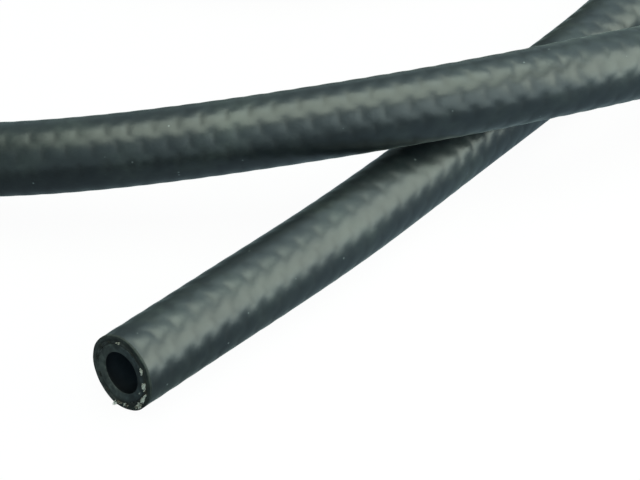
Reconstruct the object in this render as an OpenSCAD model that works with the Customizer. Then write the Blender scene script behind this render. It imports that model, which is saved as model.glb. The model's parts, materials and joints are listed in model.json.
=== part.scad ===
// Braid-reinforced rubber air hose with two bare cut ends.
// One end lies straight out in front, the other end is laid across it in a long low hump,
// and the length between them is wound into a flat round coil of two layers.
// Millimetres, +Z up, resting on z = 0, with the origin under the middle of the whole layout.

/* [Hose section] */
// Bore of the liner
bore_d = 9; // [8:0.25:10]
// Wall of the inner rubber liner
liner_wall = 1.75; // [1.5:0.05:2]
// Wall of the textile braid
braid_wall = 0.75; // [0.6:0.05:0.9]
// Wall of the outer rubber cover
cover_wall = 1; // [0.8:0.05:1.2]

/* [Coil] */
// Outer radius of the coil, to the middle of the hose
coil_radius = 100; // [98:1:104]
// Full turns in each of the two layers
layer_turns = 2; // [1:1:2]
// Clear gap between neighbouring turns
turn_gap = 0.6; // [0.55:0.05:1]
// Place of the coil's middle along X
coil_x = 8; // [4:1:12]
// Place of the coil's middle along Y
coil_y = 73.5; // [70:0.5:80]

/* [Cut ends] */
// Length of the straight, truly round stretch at each cut end
end_length = 24; // [20:1:28]
// Place of the front end's mouth along X
front_x = -23; // [-25:0.5:-21]
// Place of the front end's mouth along Y
front_y = -172; // [-174:0.5:-170]
// Heading of the front end, in degrees from +X
front_heading = 47; // [45:1:49]
// Heading of the crossing end, in degrees from +X
cross_heading = 43; // [41:1:45]
// Downward slope of the crossing end, in degrees
cross_slope = 17; // [15:1:18]

/* [Hidden] */
bore_r = bore_d / 2;
liner_r = bore_r + liner_wall;
braid_r = liner_r + braid_wall;
hose_r = braid_r + cover_wall;
hose_d = 2 * hose_r;

// Height from one layer of hose to the next, and from turn to turn
pitch = hose_d + turn_gap;
// The coil is pressed flat underneath by a tenth of the hose's diameter
coil_flat = hose_d / 10;
coil_z = hose_r - coil_flat;
coil_rings = 24;
coil_sides = 6;
run_sides = 12;
round_fn = 96;

front_dir = [cos(front_heading), sin(front_heading), 0];
front_mouth = [front_x, front_y, hose_r];
front_start = front_mouth + end_length * front_dir;

cross_dir = [
    cos(cross_slope) * cos(cross_heading),
    cos(cross_slope) * sin(cross_heading),
    -sin(cross_slope)
];

// Both leads leave the coil straight along Y for one hose diameter
lead_in = [coil_x + coil_radius, coil_y - hose_d, coil_z];
lead_out = [coil_x - coil_radius, coil_y - hose_d, coil_z + pitch];

// Points of the front run after its straight end: x, y and lift in layers above the floor
front_points = [
    [20.5, -125, 0],
    [46, -94, 0],
    [71, -63, 0],
    [91, -34.5, 0],
    [103.5, -5.5, 0],
    [108, 28, 0]
];
// Points of the crossing run from the coil to its straight end
cross_points = [
    [-95, 28.5, 0.77],
    [-105, 0, 0.32],
    [-113.4, -37.5, 0.08],
    [-106, -71, 0],
    [-83, -97, 0.1],
    [-52.5, -109, 0.42],
    [-21, -110.5, 0.67],
    [11, -107.5, 0.87],
    [42, -102, 1.02],
    [72.5, -90.5, 0.98],
    [99, -70, 0.53]
];

function unit(v) = v / norm(v);
function lifted(points) = [for (p = points) [p[0], p[1], hose_r + p[2] * pitch]];

front_path = concat([front_start], lifted(front_points), [lead_in]);
cross_path = concat([lead_out], lifted(cross_points));
cross_start = cross_path[len(cross_path) - 1];
cross_mouth = cross_start + end_length * cross_dir;

// Radius and lift, in layers, of the wound hose after t turns: in, up a layer and out again
function wound(t) =
    t <= layer_turns ? [coil_radius - pitch * t, 0]
    : t <= layer_turns + 0.5 ? let (u = 2 * (t - layer_turns))
        [coil_radius - pitch * layer_turns - pitch / 2 * (u - u * u), u]
    : [coil_radius - pitch * (2 * layer_turns + 0.5 - t), 1];
coil_turns = 2 * layer_turns + 0.5;
wound_path = [
    for (i = [0 : coil_turns * coil_rings])
        let (t = i / coil_rings, w = wound(t))
            [coil_x + w[0] * cos(360 * t), coil_y + w[0] * sin(360 * t), coil_z + w[1] * pitch]
];
coil_path = concat([lead_in], wound_path, [lead_out]);

// Direction of a path at each point, with the two end directions given
function directions(path, first, last) = [
    for (i = [0 : len(path) - 1])
        i == 0 ? first
        : i == len(path) - 1 ? last
        : unit(unit(path[i + 1] - path[i]) + unit(path[i] - path[i - 1]))
];

// Nothing goes below the floor: the hose is pressed flat there with its walls kept
function settled(p, r) = [p[0], p[1], max(p[2], 0, (hose_r - r) * cos(180 / coil_sides))];

// One ring of points of radius r round c, square to dir
function ring(c, dir, r, sides) =
    let (side = unit(cross(dir, [0, 0, 1])), up = cross(side, dir))
        [for (k = [0 : sides - 1])
            let (a = 360 * k / sides)
                settled(c + r * (cos(a) * side + sin(a) * up), r)];

// A tube along a path: an outer skin, an inner skin and a flat wall at both ends
module tube(path, first, last, r_in, r_out, sides) {
    dirs = directions(path, first, last);
    rings = len(path);
    skin = rings * sides;
    points = [
        for (r = [r_out, r_in])
            for (i = [0 : rings - 1])
                each ring(path[i], dirs[i], r, sides)
    ];
    walls = [
        for (i = [0 : rings - 2])
            for (k = [0 : sides - 1])
                let (
                    a = i * sides + k,
                    b = i * sides + (k + 1) % sides,
                    c = b + sides,
                    d = a + sides
                )
                    each [
                        [a, c, b], [a, d, c],
                        [skin + a, skin + b, skin + c], [skin + a, skin + c, skin + d]
                    ]
    ];
    last_ring = skin - sides;
    ends = [
        for (k = [0 : sides - 1])
            let (n = (k + 1) % sides)
                each [
                    [k, n, skin + n], [k, skin + n, skin + k],
                    [last_ring + k, skin + last_ring + n, last_ring + n],
                    [last_ring + k, skin + last_ring + k, skin + last_ring + n]
                ]
    ];
    polyhedron(points, concat(walls, ends), convexity = 10);
}

// The straight, truly round stretch at a cut end
module round_end(from, heading, slope, r_in, r_out) {
    translate(from)
        rotate([0, 90 + slope, heading])
            rotate_extrude($fn = round_fn)
                translate([r_in, 0])
                    square([r_out - r_in, end_length]);
}

// A run of faceted hose whose facets cut and bulge alike, so it holds a round hose's volume
module run(path, first, last, r_in, r_out) {
    even = sqrt(2 * PI / (run_sides * sin(360 / run_sides)));
    tube(path, first, last, even * r_in, even * r_out, run_sides);
}

module front_end(r_in, r_out) {
    round_end(front_mouth, front_heading, 0, r_in, r_out);
}

module front(r_in, r_out) {
    run(front_path, front_dir, [0, 1, 0], r_in, r_out);
}

module coil(r_in, r_out) {
    tube(coil_path, [0, 1, 0], [0, -1, 0], r_in, r_out, coil_sides);
}

module crossing(r_in, r_out) {
    run(cross_path, [0, -1, 0], cross_dir, r_in, r_out);
}

module cross_end(r_in, r_out) {
    round_end(cross_start, cross_heading, cross_slope, r_in, r_out);
}

module liner_front_end() { color("dimgray") front_end(bore_r, liner_r); }
module liner_front() { color("dimgray") front(bore_r, liner_r); }
module liner_coil() { color("dimgray") coil(bore_r, liner_r); }
module liner_cross() { color("dimgray") crossing(bore_r, liner_r); }
module liner_cross_end() { color("dimgray") cross_end(bore_r, liner_r); }

module braid_front_end() { color("beige") front_end(liner_r, braid_r); }
module braid_front() { color("beige") front(liner_r, braid_r); }
module braid_coil() { color("beige") coil(liner_r, braid_r); }
module braid_cross() { color("beige") crossing(liner_r, braid_r); }
module braid_cross_end() { color("beige") cross_end(liner_r, braid_r); }

module cover_front_end() { color("darkslategray") front_end(braid_r, hose_r); }
module cover_front() { color("darkslategray") front(braid_r, hose_r); }
module cover_coil() { color("darkslategray") coil(braid_r, hose_r); }
module cover_cross() { color("darkslategray") crossing(braid_r, hose_r); }
module cover_cross_end() { color("darkslategray") cross_end(braid_r, hose_r); }

liner_front_end();
liner_front();
liner_coil();
liner_cross();
liner_cross_end();
braid_front_end();
braid_front();
braid_coil();
braid_cross();
braid_cross_end();
cover_front_end();
cover_front();
cover_coil();
cover_cross();
cover_cross_end();

// Points along a path, count to a segment
function split(path, count) = [
    for (i = [0 : len(path) - 2])
        for (k = [0 : count - 1])
            path[i] + k / count * (path[i + 1] - path[i])
];
// Clear distance between one hose laid along path and itself, more than skip points further on
function self_gap(path, skip) = min([
    for (i = [0 : len(path) - 1 - skip])
        for (j = [i + skip : len(path) - 1])
            norm(path[i] - path[j])
]) - hose_d;
// Clear distance between two hoses laid along two paths
function gap_between(a, b) = min([for (p = a) for (q = b) norm(p - q)]) - hose_d;
function run_length(path) =
    [for (i = [1 : len(path) - 1]) norm(path[i] - path[i - 1])]
        * [for (i = [1 : len(path) - 1]) 1];

echo("Least gap of the coil to itself", self_gap(split(coil_path, 2), coil_rings));
echo("Gap where one run passes over the other",
    gap_between(split(front_path, 12), split(cross_path, 12)));
echo("Length of hose",
    2 * end_length + run_length(front_path) + run_length(coil_path) + run_length(cross_path));
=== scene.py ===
"""A braided rubber air hose with two bare cut ends, and the stage that it lies on.

The hose is one 3 m length: its front end lies straight out, the other end passes over it
in a long low hump, and the length between them is wound into a flat coil of two layers.
"""

import json
import math

import bmesh
import bpy
import numpy as np
from bpy.props import (
    FloatProperty,
    FloatVectorProperty,
    IntProperty,
    PointerProperty,
)
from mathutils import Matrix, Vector


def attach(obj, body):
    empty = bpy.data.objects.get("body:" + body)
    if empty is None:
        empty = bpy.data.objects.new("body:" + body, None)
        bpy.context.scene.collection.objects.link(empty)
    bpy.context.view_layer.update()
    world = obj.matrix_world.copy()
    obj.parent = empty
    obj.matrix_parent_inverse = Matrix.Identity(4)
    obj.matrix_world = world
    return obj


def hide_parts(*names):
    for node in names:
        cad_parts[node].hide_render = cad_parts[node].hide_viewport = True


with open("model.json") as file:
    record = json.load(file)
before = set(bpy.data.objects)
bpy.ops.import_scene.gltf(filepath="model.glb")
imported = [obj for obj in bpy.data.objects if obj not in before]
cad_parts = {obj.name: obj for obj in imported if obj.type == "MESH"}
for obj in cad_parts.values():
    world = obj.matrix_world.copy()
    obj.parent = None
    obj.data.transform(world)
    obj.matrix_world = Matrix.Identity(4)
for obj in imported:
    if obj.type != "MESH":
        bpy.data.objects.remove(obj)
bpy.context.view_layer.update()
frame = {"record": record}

bl_info = {
    "name": "Braided air hose",
    "version": (1, 0, 0),
    "blender": (4, 5, 0),
    "location": "3D View > Sidebar > Air hose",
    "description": "Builds a cut length of braided rubber air hose and its stage",
    "category": "Object",
}

MOUNTS = {m["name"]: m for m in frame["record"]["mounts"]}
# The stretches that each tube's solids come in, from the front mouth on
STRETCHES = ("front_end", "front", "coil", "cross", "cross_end")

MM = 0.001
TURN = 2 * math.pi
# The finishes of a tube's faces, by name and by number
FINISHES = ("Skin", "Cut", "Wall")
SKIN, CUT, WALL = range(3)
# Sides of a loop: where it is seen from close by, and elsewhere on a skin
FINE_SIDES, PLAIN_SIDES = 96, 48
# How far a tube's skin stays inside the wall round it, so that they don't touch
SLACK = 0.00003
# How near the far mouth the plain loops inside a tube come
MOUTH_CLEAR = 0.004

# The lay of the hose, in metres: x, y and the lift above the floor in hose layers
FRONT_POINTS = (
    (0.0205, -0.125, 0.0),
    (0.046, -0.094, 0.0),
    (0.071, -0.063, 0.0),
    (0.091, -0.0345, 0.0),
    (0.1035, -0.0055, 0.0),
    (0.108, 0.028, 0.0),
)
CROSS_POINTS = (
    (-0.095, 0.0285, 0.77),
    (-0.105, 0.0, 0.32),
    (-0.1134, -0.0375, 0.08),
    (-0.106, -0.071, 0.0),
    (-0.083, -0.097, 0.1),
    (-0.0525, -0.109, 0.42),
    (-0.021, -0.1105, 0.67),
    (0.011, -0.1075, 0.87),
    (0.042, -0.102, 1.02),
    (0.0725, -0.0905, 0.98),
    (0.099, -0.07, 0.53),
)

# Distance between points of the middle line, and the mean radius of the coil's turns,
# in metres
LINE_STEP = 0.0005
MEAN_TURN_RADIUS = 0.085
# Where the swell behind the front mouth has ended, and the length that it fades over
SWELL_END, SWELL_FADE = 0.13, 0.07
# How deep behind a mouth the slant of its cut is kept in full, and the length that it
# fades over
SLANT_DEPTH, SLANT_FADE = 0.0012, 0.012
# Lengths behind the front and the crossing mouth where the relief is in the mesh
FRONT_FINE, CROSS_FINE = 0.188, 0.2

# How much of the cover's relief is in its mesh; its finish draws the rest of it
MESH_SHARE = 0.6
# How far bumps stray along and round the hose, in steps of their lattice, and the scale
# of the noise that moves them
STRAY_ALONG, STRAY_AROUND, STRAY_SCALE = 0.13, 0.07, 80.0
# How far the rows of bumps are parted
PARTING = 0.6
# Depth of the grooves between the bumps of a row, as a share of the relief, and their
# breadth in pitches
GROOVE_SHARE = 0.2
GROOVE_BREADTH = 0.13
# Places where the relief is fainter: middle, how far it is faint and how much is lost
FAINT_PLACES = (
    ((-0.055, -0.108, 0.018), 0.055, 0.42),
    ((0.018, -0.128, 0.012), 0.04, 0.38),
)
# The share of that reach within which all of it is lost
FAINT_CORE = 0.3

# Cut yarn bundles round a mouth: turn from the side in degrees, radius in millimetres,
# how clean the yarn is, and its breadth and height
BUNDLES = (
    (31, 6.55, 0.9, 0.9, 0.75),
    (3, 6.35, 0.95, 1.1, 1.15),
    (-9, 6.95, 0.42, 0.7, 0.9),
    (-25, 6.85, 0.95, 1.2, 1.1),
    (-42, 7.15, 1.0, 1.0, 1.35),
    (-77, 7.0, 0.8, 0.75, 0.8),
    (-91, 7.1, 0.75, 0.75, 0.7),
    (-122, 6.7, 0.3, 0.8, 0.8),
    (-150, 6.6, 0.22, 0.8, 0.8),
    (178, 6.6, 0.26, 0.8, 0.8),
    (150, 6.6, 0.2, 0.8, 0.8),
    (124, 6.65, 0.24, 0.9, 0.6),
    (96, 6.8, 0.6, 0.65, 0.25),
    (64, 6.65, 0.2, 0.8, 0.7),
)
BUNDLE_BREADTH, BUNDLE_DEPTH = 0.8 * MM, 0.36 * MM
# How far bundles stand out, how much further clean ones do, and how deep bundles and
# loose fibres are rooted, in millimetres
STAND_OUT, CLEAN_STAND_OUT = 0.42, 0.3
BUNDLE_ROOT, FRAY_ROOT = 0.3, 0.1
# Loose fibres at a mouth: turn in degrees, radius and length in millimetres, number,
# and how far they lean outward and round
FRAYS = (
    (-94, 7.1, 1.35, 4, 0.1, -0.3),
    (-98, 7.2, 0.9, 3, 0.3, 0.2),
    (-50, 7.1, 0.7, 5, 0.3, 0.1),
    (-12, 7.1, 0.55, 5, 0.1, -0.6),
    (-20, 5.6, 0.2, 3, 0.0, 0.0),
    (8, 6.6, 0.5, 3, 0.1, 0.4),
)
FRAY_TONE, FRAY_SIZE = 0.9, 0.35
# Scale of the finest fibre noise, and yarns side by side in one strand of the braid
FIBRE_SCALE = 5200.0
YARNS_IN_STRAND = 5
# Where a cut is torn most, as a share of a turn round the hose
TORN_SIDE = 0.52
# How much of the white floor is its own glow; the rest takes the hose's shadow
FLOOR_GLOW = 0.96
WHITE = (1.0, 1.0, 1.0, 1.0)


# ---------------------------------------------------------------- what a user can change

# What many of these values have in common
LENGTH = {"unit": "LENGTH", "precision": 5}
FINE_LENGTH = {"unit": "LENGTH", "precision": 6}
COLOUR = {"size": 4, "subtype": "COLOR", "min": 0.0, "max": 1.0}


class HoseSizes(bpy.types.PropertyGroup):
    """Sizes of the hose, its relief and its coil"""

    bore_radius: FloatProperty(
        name="Bore radius",
        description="Inside radius of the liner",
        default=MOUNTS["front_bore"]["dims"]["r_mm"] / 1000,
        **LENGTH,
    )
    liner_radius: FloatProperty(
        name="Liner radius",
        description="Outside radius of the inner rubber liner",
        default=0.00625,
        **LENGTH,
    )
    braid_radius: FloatProperty(
        name="Braid radius",
        description="Outside radius of the textile braid",
        default=0.007,
        **LENGTH,
    )
    hose_radius: FloatProperty(
        name="Hose radius",
        description="Outside radius of the rubber cover",
        default=MOUNTS["front_outside"]["dims"]["r_mm"] / 1000,
        **LENGTH,
    )
    end_length: FloatProperty(
        name="Straight end",
        description="Length of the straight stretch at each cut end",
        default=MOUNTS["front_bore"]["dims"]["length_mm"] / 1000,
        unit="LENGTH",
        precision=4,
    )
    front_swell: FloatProperty(
        name="Front swell",
        description="How much wider the hose's skin is behind the front mouth",
        default=0.00014,
        **LENGTH,
    )
    cut_slant: FloatProperty(
        name="Cut slant",
        description="How far the two cuts are out of square, measured at the hose's skin",
        default=0.00069,
        **LENGTH,
    )
    cut_slant_turn: FloatProperty(
        name="Cut slant turn",
        description="How far round from the side a cut is slanted most into the hose",
        default=math.radians(83),
        subtype="ANGLE",
    )
    cut_short: FloatProperty(
        name="Cut short",
        description="How far the middle of a cut is set back into the hose",
        default=0.0003,
        **LENGTH,
    )
    relief_pitch: FloatProperty(
        name="Relief pitch",
        description="Distance along the hose from one bump to the next in its row",
        default=0.005098,
        **FINE_LENGTH,
    )
    relief_rows: IntProperty(
        name="Relief rows",
        description="Rows of bumps round the hose, each half a pitch on from the next",
        default=12,
    )
    relief_turn: FloatProperty(
        name="Relief turn",
        description="How far round from the side the first row of bumps lies",
        default=math.radians(8),
        subtype="ANGLE",
    )
    relief_start: FloatProperty(
        name="Relief start",
        description="Distance from the front mouth to the first bump of the first row",
        default=0.0043,
        **LENGTH,
    )
    relief_depth: FloatProperty(
        name="Relief depth",
        description="Depth of the creases between the bumps that the braid raises",
        default=0.000155,
        **FINE_LENGTH,
    )
    waver: FloatProperty(
        name="Waver",
        description="Depth of the slow unevenness of the cover",
        default=0.00004,
        **FINE_LENGTH,
    )
    coil_radius: FloatProperty(
        name="Coil radius",
        description="Outer radius of the coil, to the middle of the hose",
        default=0.1,
        unit="LENGTH",
        precision=4,
    )
    coil_middle: FloatVectorProperty(
        name="Coil middle",
        description="Place of the coil's middle on the floor",
        default=(0.008, 0.0735),
        size=2,
        unit="LENGTH",
        precision=4,
    )
    layer_turns: IntProperty(
        name="Turns in a layer",
        description="Full turns in each of the coil's two layers",
        default=2,
    )
    turn_gap: FloatProperty(
        name="Turn gap",
        description="Clear gap between neighbouring turns",
        default=0.0006,
        **LENGTH,
    )
    yarn_strands: IntProperty(
        name="Yarn strands",
        description="Fibre ends in each cut bundle of braid yarn",
        default=30,
    )
    strand_radius: FloatProperty(
        name="Strand radius",
        description="Radius of one fibre end",
        default=0.00007,
        **FINE_LENGTH,
    )


class HoseFinish(bpy.types.PropertyGroup):
    """Colours and gloss of the hose's rubber and textile"""

    cover_colour: FloatVectorProperty(
        name="Cover colour",
        description="Colour of the outer rubber",
        default=(0.0095, 0.0135, 0.0155, 1.0),
        **COLOUR,
    )
    bloom_colour: FloatVectorProperty(
        name="Bloom colour",
        description="Colour of the faint powdery bloom on the outer rubber",
        default=(0.042, 0.052, 0.046, 1.0),
        **COLOUR,
    )
    cover_roughness: FloatProperty(
        name="Cover roughness",
        description="Roughness of the outer rubber",
        default=0.33,
        min=0.0,
        max=1.0,
        subtype="FACTOR",
    )
    cover_cut_colour: FloatVectorProperty(
        name="Cover cut colour",
        description="Colour of the cover where a knife has cut it cleanly",
        default=(0.02, 0.027, 0.022, 1.0),
        **COLOUR,
    )
    cover_torn_colour: FloatVectorProperty(
        name="Cover torn colour",
        description="Colour of the cover where the cut has torn it",
        default=(0.062, 0.066, 0.061, 1.0),
        **COLOUR,
    )
    liner_cut_colour: FloatVectorProperty(
        name="Liner cut colour",
        description="Colour of the liner where a knife has cut it cleanly",
        default=(0.034, 0.044, 0.046, 1.0),
        **COLOUR,
    )
    liner_torn_colour: FloatVectorProperty(
        name="Liner torn colour",
        description="Colour of the liner where the cut has torn it",
        default=(0.08, 0.088, 0.079, 1.0),
        **COLOUR,
    )
    bore_colour: FloatVectorProperty(
        name="Bore colour",
        description="Colour of the bore's wall at a mouth",
        default=(0.003, 0.0042, 0.006, 1.0),
        **COLOUR,
    )
    # Painted light: the bore's wall is painted paler further in, where less light reaches
    painted_deep_bore_colour: FloatVectorProperty(
        name="Painted deep bore colour",
        description="Colour of the bore's wall further in, painted paler to make up for the light that falls off into the bore",
        default=(0.05, 0.062, 0.078, 1.0),
        **COLOUR,
    )
    dust_colour: FloatVectorProperty(
        name="Dust colour",
        description="Colour of the dust specks on the outer rubber",
        default=(0.16, 0.18, 0.18, 1.0),
        **COLOUR,
    )
    yarn_colour: FloatVectorProperty(
        name="Yarn colour",
        description="Colour of clean braid yarn",
        default=(0.66, 0.65, 0.58, 1.0),
        **COLOUR,
    )
    stained_colour: FloatVectorProperty(
        name="Stained yarn colour",
        description="Colour of yarn that is half soaked with rubber cement",
        default=(0.13, 0.1, 0.07, 1.0),
        **COLOUR,
    )
    soaked_colour: FloatVectorProperty(
        name="Soaked yarn colour",
        description="Colour of yarn that is soaked with rubber cement",
        default=(0.034, 0.036, 0.031, 1.0),
        **COLOUR,
    )


class HoseStage(bpy.types.PropertyGroup):
    """Camera, lamps and floor"""

    camera_place: FloatVectorProperty(
        name="Camera place",
        description="Where the camera stands",
        default=(0.0162, -0.56118, 0.3345),
        size=3,
        subtype="TRANSLATION",
        **LENGTH,
    )
    camera_tilt: FloatProperty(
        name="Camera tilt",
        description="How far the camera looks down",
        default=math.radians(37.032),
        subtype="ANGLE",
    )
    lens: FloatProperty(
        name="Lens",
        description="Focal length in millimetres on a 36 mm wide sensor",
        default=145.64,
        min=1.0,
        unit="CAMERA",
    )
    top_strength: FloatProperty(
        name="Top lamp",
        description="Brightness of the overhead soft box's face",
        default=2.8,
        min=0.0,
    )
    side_strength: FloatProperty(
        name="Side lamp",
        description="Brightness of the soft box on the right",
        default=2.95,
        min=0.0,
    )
    front_strength: FloatProperty(
        name="Front lamp",
        description="Brightness of the soft box on the right in front",
        default=1.3,
        min=0.0,
    )
    room_strength: FloatProperty(
        name="Room light",
        description="Brightness of the light from all round",
        default=1.0,
        min=0.0,
    )
    floor_colour: FloatVectorProperty(
        name="Floor colour",
        description="Colour that the floor throws back onto the hose",
        default=(0.38, 0.43, 0.47, 1.0),
        **COLOUR,
    )
    mirrored_near: FloatVectorProperty(
        name="Mirrored background, near",
        description="Colour of the background that gloss mirrors at the front left",
        default=(0.08, 0.1, 0.11, 1.0),
        **COLOUR,
    )
    mirrored_far: FloatVectorProperty(
        name="Mirrored background, far",
        description="Colour of the background that gloss mirrors at the back right",
        default=(0.21, 0.29, 0.34, 1.0),
        **COLOUR,
    )


# ---------------------------------------------------------------- the line of the hose


def smooth_line(points, first, last):
    """Points of a twice smooth curve through points, with its end directions given."""
    p = np.array(points, float)
    t = np.concatenate([[0.0], np.cumsum(np.linalg.norm(np.diff(p, axis=0), axis=1))])
    h = np.diff(t)
    slope = np.diff(p, axis=0) / h[:, None]
    n = len(p)
    a = np.zeros((n, n))
    b = np.zeros((n, 3))
    a[0, 0] = a[-1, -1] = 1.0
    b[0], b[-1] = first, last
    for i in range(1, n - 1):
        a[i, i - 1] = h[i]
        a[i, i] = 2 * (h[i - 1] + h[i])
        a[i, i + 1] = h[i - 1]
        b[i] = 3 * (h[i] * slope[i - 1] + h[i - 1] * slope[i])
    m = np.linalg.solve(a, b)
    out = []
    for i in range(n - 1):
        count = max(2, int(math.ceil(h[i] / LINE_STEP)))
        u = (np.arange(count) / count)[:, None]
        out.append(
            (2 * u**3 - 3 * u**2 + 1) * p[i]
            + (u**3 - 2 * u**2 + u) * h[i] * m[i]
            + (3 * u**2 - 2 * u**3) * p[i + 1]
            + (u**3 - u**2) * h[i] * m[i + 1]
        )
    return np.concatenate(out + [p[-1:]])


def lifted(points, sizes):
    """Route points with their lift turned into the height of the hose's middle."""
    layer = 2 * sizes.hose_radius + sizes.turn_gap
    return [(x, y, sizes.hose_radius + lift * layer) for x, y, lift in points]


def coil_line(sizes):
    """The wound stretch: in over the floor, up a layer in half a turn, and out again."""
    pitch = 2 * sizes.hose_radius + sizes.turn_gap
    turns = sizes.layer_turns
    total = 2 * turns + 0.5
    count = int(math.ceil(total * TURN * MEAN_TURN_RADIUS / LINE_STEP))
    t = np.linspace(0.0, total, count)
    u = np.clip(2 * (t - turns), 0.0, 1.0)
    r = np.where(
        t <= turns,
        sizes.coil_radius - pitch * t,
        np.where(
            t <= turns + 0.5,
            sizes.coil_radius - pitch * turns - pitch / 2 * (u - u * u),
            sizes.coil_radius - pitch * (total - t),
        ),
    )
    x, y = sizes.coil_middle
    turn = TURN * t
    points = (x + r * np.cos(turn), y + r * np.sin(turn), sizes.hose_radius + u * pitch)
    return np.stack(points, axis=1)


def eased(x):
    """A soft step: 0 up to x = 0, 1 from x = 1 on."""
    x = min(1.0, max(0.0, x))
    return x * x * (3 - 2 * x)


class HoseLine:
    """The middle line of the whole hose, from the front mouth to the crossing mouth."""

    def __init__(self, sizes):
        front_out = np.array(Vector(MOUNTS["front_bore"]["axis"]).normalized())
        cross_out = np.array(Vector(MOUNTS["cross_bore"]["axis"]).normalized())
        self.front_mouth = np.array(MOUNTS["front_bore"]["pos_m"])
        self.cross_mouth = np.array(MOUNTS["cross_bore"]["pos_m"])
        front_start = self.front_mouth - sizes.end_length * front_out
        cross_start = self.cross_mouth - sizes.end_length * cross_out
        x, y = sizes.coil_middle
        thick = 2 * sizes.hose_radius
        low, high = sizes.hose_radius, sizes.hose_radius + thick + sizes.turn_gap
        lead_in = (x + sizes.coil_radius, y - thick, low)
        lead_out = (x - sizes.coil_radius, y - thick, high)
        front = [front_start, *lifted(FRONT_POINTS, sizes), lead_in]
        front = smooth_line(front, -front_out, (0, 1, 0))
        cross = [lead_out, *lifted(CROSS_POINTS[:-1], sizes), cross_start]
        cross = smooth_line(cross, (0, -1, 0), cross_out)
        self.points = np.concatenate(
            [[self.front_mouth], front, coil_line(sizes), cross, [self.cross_mouth]]
        )
        self.points[:, 2] = np.maximum(self.points[:, 2], sizes.hose_radius)
        self.swell = sizes.front_swell / (sizes.hose_radius - sizes.bore_radius)
        self.bore = sizes.bore_radius
        self.slant = sizes.cut_slant / sizes.hose_radius
        self.slant_turn, self.short = sizes.cut_slant_turn, sizes.cut_short
        gaps = np.linalg.norm(np.diff(self.points, axis=0), axis=1)
        self.along = np.concatenate([[0.0], np.cumsum(gaps)])
        self.length = float(self.along[-1])

    def swollen(self, s, radius):
        """A radius in the wall, widened behind the front mouth with the bore kept."""
        share = self.swell * eased((SWELL_END - s) / SWELL_FADE)
        return radius + share * max(0.0, radius - self.bore)

    def cut_shift(self, s, radius, turn):
        """How far a point near a mouth is moved along the hose by the slant of its cut."""
        shift = 0.0
        for depth, way in ((s, 1.0), (self.length - s, -1.0)):
            slant = self.slant * radius * math.cos(turn - self.slant_turn)
            left = 1 - eased((depth - SLANT_DEPTH) / SLANT_FADE)
            shift += way * (self.short + slant) * left
        return shift

    def at(self, s):
        """Middle points, directions, and sideways and upward arms at distances s."""
        s = np.atleast_1d(np.asarray(s, float))

        def place(d):
            return np.stack(
                [np.interp(d, self.along, self.points[:, k]) for k in range(3)], axis=1
            )

        ahead, behind = np.minimum(s + MM, self.length), np.maximum(s - MM, 0.0)
        way = place(ahead) - place(behind)
        way /= np.linalg.norm(way, axis=1)[:, None]
        side = np.cross(way, (0.0, 0.0, 1.0))
        side /= np.linalg.norm(side, axis=1)[:, None]
        held = np.clip(s, 0.0, self.length)
        return place(held) + (s - held)[:, None] * way, way, side, np.cross(side, way)


# ---------------------------------------------------------------- mesh building


class TubeShell:
    """A closed shell that is built loop by loop round the hose's line."""

    def __init__(self, line):
        self.line = line
        self.verts, self.faces, self.corner_uv, self.finish = [], [], [], []
        self.around, self.along, self.outward, self.weight = [], [], [], []
        self.loops = []

    def loop(self, s, radius, sides, weight, wobble):
        """One loop of points at distance s; its weight is the share of the relief that it
        gets, and wobble gives it an uneven edge."""
        middle, way, side, up = (v[0] for v in self.line.at(s))
        start = len(self.verts)
        radius = self.line.swollen(s, radius)
        for k in range(sides):
            turn = TURN * k / sides
            out = math.cos(turn) * side + math.sin(turn) * up
            wide, push = wobble(turn) if wobble else (0.0, 0.0)
            push += self.line.cut_shift(s, radius, turn)
            point = middle + (radius + wide) * out + push * way
            point[2] = max(point[2], 0.0)
            self.verts.append(point)
            self.around.append(k / sides)
            self.along.append(s + push)
            self.outward.append(out)
            self.weight.append(weight)
        self.loops.append((start, sides))
        return len(self.loops) - 1

    def _face(self, corners, turns, finish, flip=False):
        """One face, with the place of each corner on the surface map."""
        if flip:
            corners, turns = corners[::-1], turns[::-1]
        self.faces.append(corners)
        self.corner_uv.extend((u, self.along[c]) for u, c in zip(turns, corners))
        self.finish.append(finish)

    def bridge(self, one, two, finish):
        """Close the band between two loops whose side counts divide each other."""
        (a, na), (b, nb) = self.loops[one], self.loops[two]
        if na == nb:
            for k in range(na):
                n = (k + 1) % na
                u, w = k / na, (k + 1) / na
                self._face((a + k, a + n, b + n, b + k), (u, w, w, u), finish)
            return
        flip = na < nb
        if flip:
            (a, na), (b, nb) = (b, nb), (a, na)
        each = na // nb
        half = each // 2
        for j in range(nb):
            n = (j + 1) % nb
            for i in range(each):
                k = j * each + i
                tip, u = (b + j, j / nb) if i < half else (b + n, (j + 1) / nb)
                corners = (a + k, a + (k + 1) % na, tip)
                self._face(corners, (k / na, (k + 1) / na, u), finish, flip)
            k = j * each + half
            corners = (a + k % na, b + n, b + j)
            self._face(corners, (k / na, (j + 1) / nb, j / nb), finish, flip)

    def object(self, name):
        """A new object of the shell, with its surface map and its attributes."""
        mesh = bpy.data.meshes.new(name)
        mesh.from_pydata([tuple(v) for v in self.verts], [], self.faces)
        mesh.polygons.foreach_set("use_smooth", [True] * len(self.faces))
        layer = mesh.uv_layers.new(name="surface")
        layer.data.foreach_set("uv", [c for uv in self.corner_uv for c in uv])
        add_attribute(mesh, "around", "FLOAT", self.around)
        add_attribute(mesh, "along", "FLOAT", self.along)
        add_attribute(mesh, "relief", "FLOAT", self.weight)
        add_attribute(mesh, "finish", "INT", self.finish, "FACE")
        add_attribute(mesh, "outward", "FLOAT_VECTOR", self.outward)
        mesh.update()
        return new_object(name, mesh)


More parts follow.
